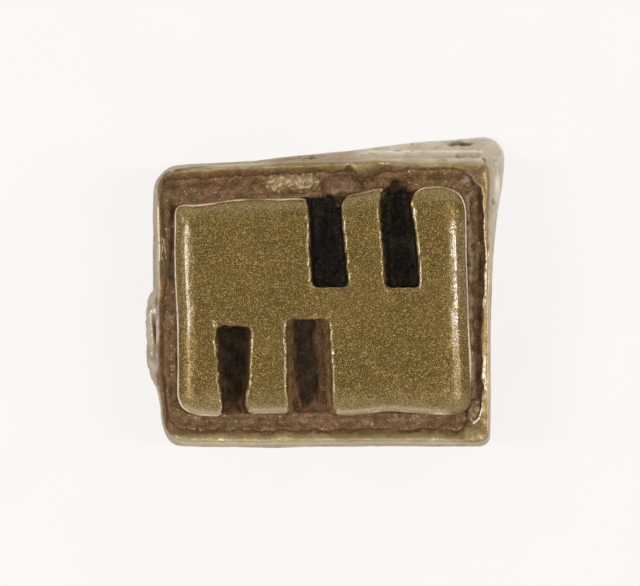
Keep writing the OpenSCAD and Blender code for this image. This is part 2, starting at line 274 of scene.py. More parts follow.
def neighbour_mean(values, pairs):
    """Mean of each vertex's neighbours."""
    count = len(values)
    first = pairs[:, 0]
    second = pairs[:, 1]
    total = np.empty_like(values)
    for column in range(values.shape[1]):
        row = values[:, column]
        total[:, column] = np.bincount(first, row[second], count) + np.bincount(second, row[first], count)
    return total / np.maximum(np.bincount(pairs.ravel(), minlength=count), 1)[:, None]


def ramp(low, high, value):
    """0 up to low, 1 from high on, and a soft rise between."""
    share = np.clip((value - low) / (high - low), 0.0, 1.0)
    return share * share * (3.0 - 2.0 * share)


def waves(co, size, seed):
    """Smooth noise from -1 to 1."""
    away = NOISE_STEP * seed
    return np.array([noise.noise(Vector(point) / size + away) for point in co])


def layers(co, *parts):
    """Layers of smooth noise added up, each as height, size of its bumps and seed."""
    return sum(height * waves(co, size, seed) for height, size, seed in parts)


def apart(co, middle, radii):
    """Squared distance from a place from above, in parts of two radii."""
    return ((co[:, 0] - middle[0]) / radii[0]) ** 2 + ((co[:, 1] - middle[1]) / radii[1]) ** 2


def spot(co, middle, radii):
    """A soft spot from above: 1 at its middle, 0 well away."""
    return np.exp(-apart(co, middle, radii))


def push(co, pushes):
    """Moves points sideways, most at the middle of each push."""
    moved = co.copy()
    for x, y, reach, *move in pushes:
        moved[:, :2] += spot(co, (x, y), (reach, reach))[:, None] * move
    return moved


def grab(names):
    """The named CAD solids as one triangle mesh, strips of the rim sunk into the block."""
    points = []
    faces = []
    start = 0
    for name in names:
        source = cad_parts[name].data
        co = read(source) / MM
        if name in RIMS:
            co[co[:, 2] < co[:, 2].min() + 0.01, 2] -= RIM_SINK
        source.calc_loop_triangles()
        points.append(co)
        faces.append(fetch(source.loop_triangles, "vertices", 3, np.int32) + start)
        start += len(co)
    mesh = bpy.data.meshes.new("solid")
    mesh.from_pydata(np.concatenate(points).tolist(), [], np.concatenate(faces).tolist())
    return mesh


def remeshed(kind, *names):
    """The named CAD solids rebuilt as one even skin of small quads."""
    mesh = grab(names)
    holder = add_object("holder", mesh)
    modifier = holder.modifiers.new("even", "REMESH")
    modifier.mode = "VOXEL"
    modifier.voxel_size = VOXELS[kind]
    modifier.use_smooth_shade = True
    graph = bpy.context.evaluated_depsgraph_get()
    skin = bpy.data.meshes.new_from_object(holder.evaluated_get(graph))
    bpy.data.objects.remove(holder)
    bpy.data.meshes.remove(mesh)
    return skin


def relax(mesh, rounds, share=0.5):
    """Softens the mesh by one share, or by one for each vertex."""
    pairs = edges_of(mesh)
    co = read(mesh)
    for _ in range(rounds):
        co += share * (neighbour_mean(co, pairs) - co)
    write(mesh, co)


def swell(mesh, amount):
    """Moves each vertex along its normal by its own amount."""
    write(mesh, read(mesh) + normals_of(mesh) * amount[:, None])


def convexity(mesh, rounds):
    """How far each vertex stands out, in millimetres; below 0 in hollows."""
    pairs = edges_of(mesh)
    co = read(mesh)
    out = ((co - neighbour_mean(co, pairs)) * normals_of(mesh)).sum(1)[:, None]
    for _ in range(rounds):
        out += 0.5 * (neighbour_mean(out, pairs) - out)
    return out[:, 0]


def cut(mesh, planes):
    """A copy of the mesh, kept behind each plane (point, normal) and closed there."""
    bm = bmesh.new()
    bm.from_mesh(mesh)
    for point, normal in planes:
        geometry = bm.verts[:] + bm.edges[:] + bm.faces[:]
        result = bmesh.ops.bisect_plane(
            bm, geom=geometry, plane_co=point, plane_no=normal, clear_outer=True
        )
        border = [item for item in result["geom_cut"] if isinstance(item, bmesh.types.BMEdge)]
        filled = bmesh.ops.triangle_fill(bm, use_beauty=True, edges=border, normal=normal)
        for edge in border:
            edge.smooth = False
        for item in filled["geom"]:
            if isinstance(item, bmesh.types.BMFace):
                item.smooth = False
    out = bpy.data.meshes.new("cut")
    bm.to_mesh(out)
    bm.free()
    return out


def keep_largest(mesh):
    """Deletes what isn't joined to the largest part of the mesh."""
    bm = bmesh.new()
    bm.from_mesh(mesh)
    waiting = set(bm.verts)
    shells = []
    while waiting:
        shell = [waiting.pop()]
        for vert in shell:
            joined = {edge.other_vert(vert) for edge in vert.link_edges} & waiting
            waiting -= joined
            shell.extend(joined)
        shells.append(shell)
    largest = max(shells, key=len)
    stray = [vert for shell in shells if shell is not largest for vert in shell]
    bmesh.ops.delete(bm, geom=stray, context="VERTS")
    bm.to_mesh(mesh)
    bm.free()


def place(node, mesh, material):
    """Makes the finished piece that stands for a CAD node."""
    mesh.transform(Matrix.Scale(MM, 4))
    mesh.materials.clear()
    mesh.materials.append(material)
    piece = add_object(node + "_visual", mesh)
    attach(piece, "root")
    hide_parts(node)


def depths_inside(co):
    """How far points lie inside each side of the crown."""
    x, y = co[:, :2].T
    slope = (BACK_RIGHT[1] - BACK_LEFT[1]) / (BACK_RIGHT[0] - BACK_LEFT[0])
    return {
        "left": x - BACK_LEFT[0],
        "right": BACK_RIGHT[0] - x,
        "front": y - FRONT_LEFT[1],
        "back": BACK_LEFT[1] + slope * (x - BACK_LEFT[0]) - y,
    }


def least(distances):
    """The smallest of some distances at each point."""
    return np.min(list(distances.values()), axis=0)


def run_of(co, side):
    """Where points lie along a side."""
    return co[:, 1] if side in ("left", "right") else co[:, 0]


def outside_tablet(co):
    """How far points lie outside each side of the tablet."""
    x, y = co[:, :2].T
    return {
        "left": TABLET_LEFT - x,
        "right": x - TABLET_RIGHT + TABLET_LEAN * (y - TABLET_FRONT),
        "front": TABLET_FRONT - y,
        "back": y - TABLET_BACK - TABLET_RISE * (x - TABLET_LEFT),
    }


def line_offsets(co, lines):
    """Signed distance of points from the nearest of some lines, from above."""
    nearest = np.full(len(co), FAR)
    offsets = np.full(len(co), FAR)
    for line in lines:
        for first, second in zip(line, line[1:]):
            start = np.array(first)
            run = np.array(second) - start
            share = np.clip(((co[:, :2] - start) @ run) / (run @ run), 0.0, 1.0)
            gap = co[:, :2] - start - share[:, None] * run
            away = np.linalg.norm(gap, axis=1)
            side = np.where(run[0] * gap[:, 1] > run[1] * gap[:, 0], 1.0, -1.0)
            offsets = np.where(away < nearest, side * away, offsets)
            nearest = np.minimum(nearest, away)
    return offsets


def near_lines(co, lines, width):
    """How near points of the rim lie to some lines: 1 on them, 0 well away."""
    return np.exp(-((line_offsets(co, lines) / width) ** 2)) * (co[:, 2] > FLOOR_Z + 0.4)


def inner_turn(co, facing):
    """Signed distance from the painted highlight line around the right rim's inner edge."""
    x, y, z = co.T
    out = np.stack([x - INNER_TURN[0], np.maximum(y - INNER_TURN[1], 0.0)], axis=1)
    out /= np.maximum(np.linalg.norm(out, axis=1), 0.001)[:, None]
    tilt = -(facing[:, :2] * out).sum(1)
    on_edge = (x > INNER_TURN[0] + 0.1) & (y > CURL_Y) & (z > FLOOR_Z + 0.3)
    return np.where(on_edge, EDGE_RADIUS * (tilt - LINE_TILT), FAR)


def push_corners(co):
    """Moves the corners of the casting, the crown less than the flanks."""
    share = ramp(1.6, 0.0, least(depths_inside(co)))
    share = share * (1.0 - 0.35 * ramp(4.0, 6.4, co[:, 2]))
    return co + share[:, None] * (push(co, CORNER_PUSHES) - co)


def in_slot_frame(co, name):
    """Way along a slot from 0 to 1 at its mouth, place beside its middle, and half its width."""
    end, end_width, mouth, mouth_width = SLOTS[name][:4]
    along = (co[:, 1] - end[1]) / (mouth[1] - end[1])
    side = co[:, 0] - end[0] - along * (mouth[0] - end[0])
    half = 0.5 * (end_width + along * (mouth_width - end_width))
    return along, side, half


def on_slots(co, names, spare):
    """Whether points lie in the footprint of the named slots."""
    out = np.zeros(len(co), bool)
    for name in names:
        end, _, mouth, _, lean_left, lean_right = SLOTS[name]
        along, side, half = in_slot_frame(co, name)
        length = abs(mouth[1] - end[1])
        across = (side > -half - lean_left - spare) & (side < half + lean_right + spare)
        out |= across & (along > -PAST_END / length) & (along < 1.0 + PAST_MOUTH / length)
    return out


def srgb(red, green, blue):
    """A screen colour, 0 to 255, as the linear colour that a shader takes."""
    out = []
    for value in (red, green, blue):
        level = value / 255.0
        out.append(level / 12.92 if level <= 0.04045 else ((level + 0.055) / 1.055) ** 2.4)
    return (*out, 1.0)


class Shade:
    """A material's node tree, with short calls for its nodes.

    A call takes a node's output, a plain value, the name of a note, or a screen colour as three levels.
    """

    def __init__(self, name):
        self.material = bpy.data.materials.new(name)
        self.material.use_nodes = True
        self.tree = self.material.node_tree
        self.tree.nodes.clear()
        self.body = self.node("BsdfPrincipled")
        self.out = self.node("OutputMaterial", {"Surface": self.body.outputs["BSDF"]})
        sockets = {0: self.node("TexCoord").outputs["Object"], "Scale": 1.0 / MM}
        self.place = self.node("VectorMath", sockets, operation="SCALE").outputs["Vector"]

    def node(self, kind, sockets=(), **settings):
        """A new node with the given settings and inputs."""
        made = self.tree.nodes.new("ShaderNode" + kind)
        for key, value in settings.items():
            setattr(made, key, value)
        for key, value in dict(sockets).items():
            self.feed(made.inputs[key], value)
        return made

    def feed(self, socket, value):
        """Gives a socket what a call was given."""
        if isinstance(value, str):
            value = self.node("Attribute", attribute_name=value).outputs["Fac"]
        if isinstance(value, bpy.types.NodeSocket):
            self.tree.links.new(value, socket)
        else:
            socket.default_value = srgb(*value) if isinstance(value, tuple) else value

    def set(self, **values):
        """Gives the shader's own sockets their values."""
        for key, value in values.items():
            self.feed(self.body.inputs[key.replace("_", " ")], value)

    def texture(self, kind, size, shift, seed):
        """A texture of the given size, moved on by a shift for each seed."""
        sockets = {"Vector": self.place, "Location": [seed * part for part in shift]}
        vector = self.node("Mapping", sockets).outputs["Vector"]
        return self.node(kind, {"Vector": vector, "Scale": 1.0 / size})

    def noise(self, size, detail, seed=0.0):
        """Noise from about 0 to 1 with bumps of the given size."""
        made = self.texture("TexNoise", size, (3.1, 7.7, 1.3), seed)
        self.feed(made.inputs["Detail"], detail)
        return made.outputs["Fac"]

    def grains(self, size, seed):
        """A random level from 0 to 1 for each small cell."""
        made = self.texture("TexVoronoi", size, (5.3, 2.7, 4.1), seed)
        return self.node("SeparateColor", {"Color": made.outputs["Color"]}).outputs["Red"]

    def ramp(self, value, low, high, to_low=0.0, to_high=1.0):
        """A soft rise from one level to another as a value goes from low to high."""
        sockets = {"Value": value, "From Min": low, "From Max": high, "To Min": to_low, "To Max": to_high}
        return self.node("MapRange", sockets, interpolation_type="SMOOTHSTEP").outputs["Result"]

    def math(self, operation, first, second, clamp=False):
        """A sum, product or the like of two values."""
        made = self.node("Math", {0: first, 1: second}, operation=operation, use_clamp=clamp)
        return made.outputs["Value"]

    def times(self, first, second):
        """Two values multiplied."""
        return self.math("MULTIPLY", first, second)

    def less(self, first, second, share):
        """A value less a share of another, from 0 to 1."""
        return self.math("SUBTRACT", first, self.times(second, share), clamp=True)

    def mix(self, share, first, second):
        """A colour with a share of another over it."""
        return self.node("Mix", {"Factor": share, 6: first, 7: second}, data_type="RGBA").outputs[2]

    def blend(self, value, low, high, first, second):
        """A colour that turns into another as a value goes from low to high."""
        return self.mix(self.ramp(value, low, high), first, second)

    def tinge(self, colour, value, low, high, most, tint):
        """A colour with at most a share of another over it, as a value goes from low to high."""
        return self.mix(self.ramp(value, low, high, 0.0, most), colour, tint)

    def bump(self, height, depth, under=None):
        """A normal from a height of 0 to 1, with the depth in millimetres."""
        made = self.node("Bump", {"Height": height, "Distance": depth * MM})
        if under is not None:
            self.feed(made.inputs["Normal"], under)
        return made.outputs["Normal"]


def cast_brass():
    """Worn brass of the block and rim, brown in its hollows and inside the rim, with painted highlights
    and pale painted reflection on its crests and flanks.
    """
    mat = Shade("cast_brass")
    broad = mat.noise(2.6, detail=3.0, seed=1.0)
    fine = mat.noise(0.11, detail=3.0, seed=2.0)
    stain = mat.noise(0.8, detail=4.0, seed=3.0)
    colour = mat.blend(broad, 0.35, 0.65, (136, 110, 66), (158, 133, 86))
    colour = mat.tinge(colour, fine, 0.6, 0.36, 0.5, (104, 82, 48))
    # Pale bare brass and ash grey: wear and tarnish, and painted reflection of the pale floor on the
    # flanks and toe
    warm = mat.blend(broad, 0.35, 0.65, (182, 158, 110), (200, 180, 136))
    ash = mat.blend(stain, 0.35, 0.65, (174, 161, 141), (198, 186, 167))
    bare = mat.tinge(mat.mix("ashen_and_painted_light", warm, ash), fine, 0.56, 0.34, 0.22, (142, 126, 98))
    colour = mat.mix("rubbed_and_painted_light", colour, bare)
    # Worn places and painted highlights, cream or pale grey
    colour = mat.mix("wear_and_highlight", colour, mat.mix("ashen_and_painted_light", (236, 220, 182), (240, 232, 216)))
    dirt = mat.times("dirt", mat.ramp(stain, 0.2, 0.6, 0.5, 1.0))
    colour = mat.mix(dirt, colour, (74, 62, 42))
    rust = mat.blend(stain, 0.4, 0.6, (112, 85, 50), (128, 94, 62))
    rust = mat.tinge(rust, fine, 0.58, 0.36, 0.8, (72, 51, 28))
    earth = mat.times("earth", mat.ramp(stain, 0.15, 0.5, 0.72, 1.0))
    colour = mat.mix(earth, colour, rust)
    # Painted highlight lines along the rim's edges, broken up, cream where strong and golden where faint
    broken = mat.ramp(mat.noise(0.14, detail=2.0, seed=8.0), 0.36, 0.5)
    line = mat.ramp(mat.math("ABSOLUTE", "line", 0.0), 0.05, 0.02)
    line = mat.times(mat.times(line, broken), mat.ramp("highlight_share", 0.0, 0.6))
    colour = mat.mix(line, colour, mat.mix("highlight_share", (176, 142, 82), (255, 240, 204)))
    pocket = mat.mix("umber", (22, 18, 13), (86, 62, 40))
    colour = mat.mix("soot", colour, pocket)
    cover = mat.math("MAXIMUM", mat.math("MAXIMUM", earth, line), "soot")
    metal = mat.less(mat.less(0.72, "ashen_and_painted_light", 0.26), cover, 0.5)
    rough = mat.ramp(fine, 0.3, 0.7, 0.3, 0.46)
    rough = mat.math("ADD", rough, mat.times(cover, 0.2))
    mat.set(Base_Color=colour, Metallic=metal, Roughness=rough)
    grain = mat.bump(fine, 0.014)
    mat.set(Normal=mat.bump(mat.noise(0.35, detail=2.0, seed=5.0), 0.022, grain))
    return mat.material


def tablet_brass():
    """Olive brass with a fine grain that also carries painted sparkle, a painted pale highlight along its
    edges, and soot in its slots.
    """
    mat = Shade("tablet_brass")
    broad = mat.noise(3.0, detail=2.0, seed=1.0)
    fine = mat.noise(0.05, detail=1.0, seed=2.0)
    flecks = mat.grains(0.045, seed=3.0)
    spread = mat.noise(0.3, detail=4.0, seed=4.0)
    sparks = mat.noise(0.085, detail=1.0, seed=6.0)
    # Paler front and back: patina and painted reflection
    patina_and_reflection = mat.times("patina_and_reflection", mat.ramp(spread, 0.3, 0.6, 0.6, 1.0))
    colour = mat.mix(patina_and_reflection, mat.blend(broad, 0.35, 0.65, (111, 88, 41), (123, 98, 50)), (166, 143, 102))
    dark = mat.mix(patina_and_reflection, (76, 58, 24), (114, 94, 58))
    colour = mat.blend(fine, 0.64, 0.38, colour, dark)
    # Golden flecks: grain, and painted sparkle where the grain would glint
    colour = mat.tinge(colour, flecks, 0.7, 1.0, 0.7, (198, 174, 102))
    # Painted highlight along the tablet's edges and on its slot rims, partly worn brass
    wear_and_highlight = mat.times("wear_and_highlight", mat.ramp("turn", 0.05, -0.03))
    wear_and_highlight = mat.times(wear_and_highlight, mat.ramp(spread, 0.36, 0.5, 0.7, 1.0))
    wear_and_highlight = mat.math("MAXIMUM", wear_and_highlight, "edge_highlights")
    colour = mat.mix(wear_and_highlight, colour, mat.mix("gilt", (255, 236, 202), (226, 194, 124)))
    earth = mat.times("earth", mat.ramp(spread, 0.25, 0.5, 0.5, 1.0))
    colour = mat.mix(earth, colour, (108, 82, 52))
    soot = mat.times("soot", mat.ramp(spread, 0.2, 0.45, 0.8, 1.0))
    black = mat.blend(spread, 0.35, 0.6, (20, 17, 13), (38, 31, 22))
    black = mat.tinge(black, flecks, 0.86, 0.98, 0.5, (128, 118, 98))
    umber = mat.blend(spread, 0.35, 0.6, (98, 73, 45), (146, 114, 76))
    colour = mat.mix(soot, colour, mat.mix("umber", black, umber))
    cover = mat.math("MAXIMUM", earth, soot)
    metal = mat.less(mat.less(0.46, cover, 0.46), wear_and_highlight, 0.46)
    rough = mat.ramp(fine, 0.3, 0.7, 0.24, 0.34)
    rough = mat.math("ADD", rough, mat.times(cover, 0.2))
    mat.set(Base_Color=colour, Metallic=metal, Roughness=rough)
    normal = mat.bump(spread, 0.015, mat.bump(fine, 0.012))
    mat.set(Normal=normal, Specular_IOR_Level=mat.less(0.2, soot, 0.18))
    coat = mat.times("polish", mat.ramp(sparks, 0.36, 0.56, 0.55, 1.0))
    coat = mat.times(coat, mat.less(1.0, cover, 1.0))
    mat.set(Coat_Weight=coat, Coat_Roughness=0.09, Coat_IOR=1.5, Coat_Normal=mat.bump(sparks, 0.006))
    return mat.material


def bead_brass():
    """Wrinkled brass of the spilled beads, from brassy to red brown."""
    mat = Shade("bead_brass")
    fine = mat.noise(0.12, detail=3.0, seed=2.0)
    broad = mat.noise(0.6, detail=3.0, seed=6.0)
    brass = mat.blend(fine, 0.35, 0.65, (134, 109, 70), (172, 147, 104))
    red = mat.blend(fine, 0.35, 0.65, (92, 66, 42), (122, 91, 62))
    colour = mat.mix("red", brass, red)
    colour = mat.tinge(colour, broad, 0.54, 0.4, 0.4, (104, 78, 50))
    # Painted glints on the beads' wrinkles
    colour = mat.mix("wear_and_highlight", colour, (222, 200, 158))
    rough = mat.ramp(fine, 0.3, 0.7, 0.36, 0.55)
    mat.set(Base_Color=colour, Metallic=mat.less(0.36, "red", 0.18), Roughness=rough)
    mat.set(Normal=mat.bump(fine, 0.02))
    return mat.material


def earth_crust():
    """Mottled brown crust with a few bright grains, sooty by the slots."""
    mat = Shade("earth_crust")
    fine = mat.noise(0.11, detail=4.0, seed=2.0)
    broad = mat.noise(0.75, detail=4.0, seed=7.0)
    patch = mat.noise(0.45, detail=3.0, seed=4.0)
    flecks = mat.grains(0.08, seed=8.0)
    colour = mat.blend(broad, 0.4, 0.6, (114, 87, 49), (135, 98, 64))
    colour = mat.tinge(colour, patch, 0.52, 0.68, 0.8, (142, 113, 74))
    colour = mat.tinge(colour, broad, 0.56, 0.7, 0.34, (148, 96, 68))
    colour = mat.tinge(colour, patch, 0.46, 0.32, 0.5, (88, 64, 40))
    colour = mat.tinge(colour, fine, 0.56, 0.36, 0.65, (72, 51, 30))
    colour = mat.tinge(colour, flecks, 0.93, 0.99, 0.8, (196, 164, 124))
    film = mat.times("film", mat.ramp(patch, 0.42, 0.6))
    colour = mat.mix(film, colour, (168, 147, 126))
    # Painted shade in the back of the left channel and beside the right rim
    colour = mat.mix("shade", colour, (64, 46, 26))
    colour = mat.mix("soot", colour, (34, 27, 19))
    metal = mat.ramp(flecks, 0.9, 0.99, 0.0, 0.6)
    mat.set(Base_Color=colour, Metallic=metal, Roughness=mat.ramp(fine, 0.3, 0.7, 0.36, 0.6))
    mat.set(Specular_IOR_Level=mat.less(0.3, "soot", 0.27), Normal=mat.bump(fine, 0.04))
    return mat.material


def charcoal_residue():
    """Black and brown remains of the mould, with small glassy grains."""
    mat = Shade("charcoal_residue")
    fine = mat.noise(0.09, detail=4.0, seed=2.0)
    broad = mat.noise(0.8, detail=2.0, seed=9.0)
    flecks = mat.grains(0.09, seed=5.0)
    coal = mat.blend(broad, 0.4, 0.62, (27, 24, 17), (42, 36, 26))
    clay = mat.blend(broad, 0.4, 0.62, (108, 78, 51), (144, 108, 78))
    clay = mat.tinge(clay, fine, 0.56, 0.36, 0.8, (50, 34, 21))
    colour = mat.mix("umber", coal, clay)
    colour = mat.tinge(colour, flecks, 0.8, 0.98, 0.5, (92, 83, 66))
    mat.set(Base_Color=colour, Roughness=mat.ramp(fine, 0.3, 0.7, 0.4, 0.7))
    mat.set(Specular_IOR_Level=0.12, Normal=mat.bump(fine, 0.04))
    return mat.material


def side_shares(inside):
    """How much each side of the crown counts at each point, 1 in all."""
    nearest = least(inside)
    weights = {side: np.exp((nearest - depth) / 0.25) for side, depth in inside.items()}
    total = np.sum(list(weights.values()), axis=0)
    return {side: weight / total for side, weight in weights.items()}


def rim_drop(co, inside, shares):
    """How far the rim's top falls inward, by the toe and at its break."""
    x, y = co[:, :2].T
    drop = np.zeros(len(co))
    for side, depth in inside.items():
        drop += RIM_SLOPES[side] * ramp(0.1, RIM_WIDTHS[side] + 0.05, depth) * shares[side]
    behind = 0.6 * ramp(0.65, -0.2, inside["back"]) * ramp(2.5, 5.5, x)
    beside = 0.4 * ramp(0.4, -0.2, inside["right"]) * ramp(1.5, 5.0, y)
    drop += np.maximum(behind, beside)
    half = 0.34 * ramp(7.75, 7.0, y) * (y > 6.4)
    notch = ramp(half + 0.12, half - 0.12, np.abs(x - 1.5))
    return drop + 0.42 * notch * ramp(7.72, 7.3, y) * (half > 0.0)


def shape_rim(co):
    """The casting with an uneven, sloping rim and a wavy inner wall."""
    inside = depths_inside(co)
    shares = side_shares(inside)
    height = np.clip((co[:, 2] - FLOOR_Z) / (RIM_Z - FLOOR_Z), 0.0, 1.0)
    lumps = layers(co, (0.06, 1.7, 4), (0.055, 0.6, 5))
    out = co.copy()
    out[:, 2] += height * (lumps - rim_drop(co, inside, shares))
    wall = ramp(0.2, 0.4, least(inside)) * ramp(FLOOR_Z - 0.1, FLOOR_Z + 0.2, out[:, 2])
    out += wall[:, None] * (push(out, INNER_WALL_PUSHES) - out)
    away = layers(out * (1.0, 1.0, 0.4), (0.13, 0.9, 8), (0.1, 0.36, 9))
    out[:, 0] += wall * away * (shares["left"] + shares["right"])
    out[:, 1] += wall * away * (shares["front"] + shares["back"])
    return out


def pitting(mesh):
    """How deep each vertex of the flanks lies in a pit."""
    co = read(mesh)
    x, y, z = co.T
    flank = ramp(0.9, 0.75, np.abs(normals_of(mesh)[:, 2]))
    flank = flank * (z > 0.35) * (z < FLOOR_Z + 0.3)
    toe = (x > 0.5) & (y > 7.2) & (z < 2.6)
    rough = layers(co, (1.0, 0.55, 71), (0.5, 0.24, 72))
    depth = flank * 0.24 * np.clip(rough - np.where(toe, 0.42, 0.5), 0.0, 0.6)
    ragged = layers(co, (0.8, 0.22, 73), (0.6, 0.11, 74))
    for middle, radii, deep in TOE_PITS:
        away = apart(co, middle, radii)
        pit = deep * flank * np.clip(1.0 - away + ragged, 0.0, 1.0) * (away < 2.5)
        depth = np.maximum(depth, pit)
    return depth


class Skin:
    """The block and its rim as one uneven cast skin, and what its notes are worked out from."""

    def __init__(self):
        mesh = remeshed("casting", "base_block", *RIMS)
        self.mesh = mesh
        flat = read(mesh)[:, 2] < 0.08
        relax(mesh, 3)
        co = read(mesh)
        nearest = least(depths_inside(co))
        shoulder = ramp(-0.6, -0.2, nearest) * ramp(0.4, 0.2, nearest)
        relax(mesh, 8, (0.5 * shoulder * (co[:, 2] > RIM_Z - 0.9))[:, None])
        co = push(read(mesh), CASTING_PUSHES)
        write(mesh, co)
        swell(mesh, layers(co, (0.05, 3.2, 1), (0.028, 1.1, 2), (0.012, 0.42, 3)))
        plan = shape_rim(read(mesh))
        co = push_corners(plan)
        co[:, 2] += 0.05 * near_lines(co, PAINTED_HIGHLIGHT_LINES, 0.09) - 0.08 * near_lines(co, DARK_LINES, 0.07)
        write(mesh, co)
        ridge = np.exp(-(((co[:, 1] - 8.43) / 0.1) ** 2)) * ramp(1.6, 3.0, co[:, 0])
        self.ridge = ridge * (co[:, 2] < 5.0) * (co[:, 0] < 9.2)
        swell(mesh, 0.08 * self.ridge)
        self.pits = pitting(mesh)
        swell(mesh, -self.pits)
        co = read(mesh)
        co[flat, 2] = 0.0
        co[:, 2] = np.maximum(co[:, 2], 0.0)
        write(mesh, co)
        self.survey(co, plan)

    def survey(self, co, plan):
        """Finds the sides, flanks, foot and toe of the finished skin."""
        x, y, z = co.T
        self.co = co
        self.facing = normals_of(self.mesh)
        self.bend = convexity(self.mesh, 2)
        self.inside = depths_inside(plan)
        self.nearest = least(self.inside)
        self.wander = layers(co, (0.14, 0.9, 6), (0.1, 0.35, 7))
        outward = (self.facing[:, :2] * co[:, :2]).sum(1) / np.hypot(x, y)
        self.flank = ramp(0.1, 0.4, outward) * ramp(RIM_Z - 0.05, RIM_Z - 0.5, z)
        self.foot = ramp(2.8, 1.2, z + 0.8 * waves(co, 1.2, 76))
        behind = ramp(-1.5, 4.5, x + 1.5 * waves(co, 1.4, 79)) * ramp(7.0, 7.8, y)
        beside = ramp(9.45, 9.8, x) * ramp(0.0, 4.5, y)
        self.toe = np.maximum(behind, beside)

    def by(self, side):
        """Where a side of the crown is the nearest one."""
        return self.inside[side] == self.nearest

    def note_earth(self):
        """Notes the crust inside the rim, and the soot under the slots."""
        co = self.co
        earth = np.ones(len(co))
        for side, (places, starts) in CRUST_STARTS.items():
            start = np.interp(run_of(co, side), places, starts)
            earth = np.minimum(earth, ramp(0.0, 0.26, self.inside[side] + self.wander - start))
        pocket = on_slots(co, SLOTS, 0.1) & (co[:, 2] > 5.0)
        settled = ramp(FLOOR_Z - 1.4, FLOOR_Z + 0.4, co[:, 2] + 0.7 * waves(co, 0.9, 77))
        note(self.mesh, "earth", earth * ~pocket * np.where(self.nearest > 0.6, 1.0, settled))
        note(self.mesh, "soot", pocket)
        umber = on_slots(co, ["front_right"], 0.1) + 0.4 * on_slots(co, ["front_left"], 0.1)
        note(self.mesh, "umber", umber)

    def note_wear_and_painted_light(self):
        """Notes the rubbed brass and ash grey tarnish, both also painted light on the crests, flanks and
        toe, and the bright worn places and painted highlights.
        """
        co = self.co
        x, y, z = co.T
        # Paler crests and flanks: rubbed brass, with painted highlight on the crests and painted
        # reflection on the flanks
        crest = np.select([self.by(side) for side in CREST_WIDTHS], list(CREST_WIDTHS.values()))
        crest += 0.3 * self.by("back") * ramp(3.5, 5.5, x)
        crest += 0.14 * self.by("right") * ramp(1.0, -1.5, y)
        top = ramp(crest, 0.0, self.nearest + 0.5 * self.wander)
        top *= ramp(RIM_Z - 1.7, RIM_Z - 0.5, z)
        gilded = self.by("front") * ramp(7.0, 8.4, x)
        side = self.flank * (0.3 + 0.15 * self.foot + 0.55 * self.toe)
        browned = self.by("back") * ramp(4.6, 6.2, z + 0.5 * waves(co, 1.0, 78))
        browned = browned * ramp(-3.8, -2.2, x) * ramp(4.5, 0.5, x)
        note(self.mesh, "rubbed_and_painted_light", np.maximum(side, top * (1.0 - 0.6 * gilded)) * (1.0 - 0.85 * browned))
        # Ash grey towards the outer edge, foot and toe: tarnish and painted reflection of the pale floor
        behind = self.by("back") * ramp(2.5, 5.0, x)
        ashen_and_painted_light = ramp(0.32 + 0.3 * behind, -0.25, self.nearest + 0.4 * self.wander)
        ashen_and_painted_light = np.maximum(ashen_and_painted_light, ramp(-8.8, -9.0, x)) * ramp(5.8, 6.8, z)
        ashen_and_painted_light = np.maximum(ashen_and_painted_light, self.foot * (0.35 + 0.65 * self.toe))
        note(self.mesh, "ashen_and_painted_light", np.maximum(ashen_and_painted_light, self.flank * (0.15 + 0.6 * self.toe)))
        # Worn places and painted highlights: glints on bumps, the streak on the right flank, the toe's
        # ridge line
        worn_and_glints = 0.1 * ramp(0.004, 0.016, self.bend) + spot(co, (10.0, 6.6), (0.13, 0.6))
        worn_and_glints += 0.4 * self.ridge + 0.2 * self.foot * self.toe
        worn_and_glints += 0.3 * self.flank * ramp(0.001, 0.008, self.bend)
        note(self.mesh, "wear_and_highlight", np.clip(worn_and_glints, 0.0, 1.0))

    def note_dirt(self):
        """Notes the dirt in pits, hollows and creases, and on the flanks."""
        co = self.co
        smudge = spot(co, (7.8, 8.95), (0.8, 0.16)) * (co[:, 2] < 3.0)
        dirt = 0.85 * smudge * ramp(-0.5, 0.2, waves(co, 0.35, 75))
        dirt += 0.65 * ramp(0.02, 0.11, self.pits) + ramp(0.016, 0.034, -self.bend)
        dirt += 0.8 * near_lines(co, DARK_LINES, 0.09)
        clouds = ramp(-0.2, 0.6, layers(co, (1.0, 2.4, 81), (0.5, 0.7, 80)))
        dirt += 0.2 * self.flank * clouds * (1.0 - self.toe)
        # Painted dark reflection: the right rim is darkened inward of its outer edge
        dirt += 0.15 * self.by("right") * ramp(0.03, 0.14, self.nearest)
        dirt += 0.2 * spot(co, (9.0, -7.6), (0.7071, 0.7071)) * (co[:, 2] > FLOOR_Z + 0.4)
        specks = ramp(0.15, 0.6, layers(co, (1.0, 0.5, 82), (0.6, 0.2, 83)))
        dirt += 0.4 * self.flank * specks * (1.0 - 0.6 * self.toe)
        note(self.mesh, "dirt", np.clip(dirt, 0.0, 1.0))

    def note_highlight_lines(self):
        """Notes how far the painted highlight lines along the rim's edges are, and how strong they are.
        """
        co = self.co
        x, y, z = co.T
        lines = line_offsets(co, PAINTED_HIGHLIGHT_LINES)
        turned = inner_turn(co, self.facing)
        note(self.mesh, "line", np.where(np.abs(turned) < np.abs(lines), turned, lines))
        strong = np.maximum(ramp(-1.0, 0.8, y), ramp(-2.8, -3.6, y))
        strong *= 1.0 - 0.95 * ramp(4.6, 5.8, y)
        share = np.where(x < 0.0, 0.75, 0.22 + 0.78 * strong)
        note(self.mesh, "highlight_share", share * (z > FLOOR_Z + 0.3))


def wedge(first, second):
    """Planes around the sector from one crown corner on to the next."""
    origin = (0.0, 0.0, 0.0)
    return [
        (origin, (first[1], -first[0], 0.0)),
        (origin, (-second[1], second[0], 0.0)),
    ]


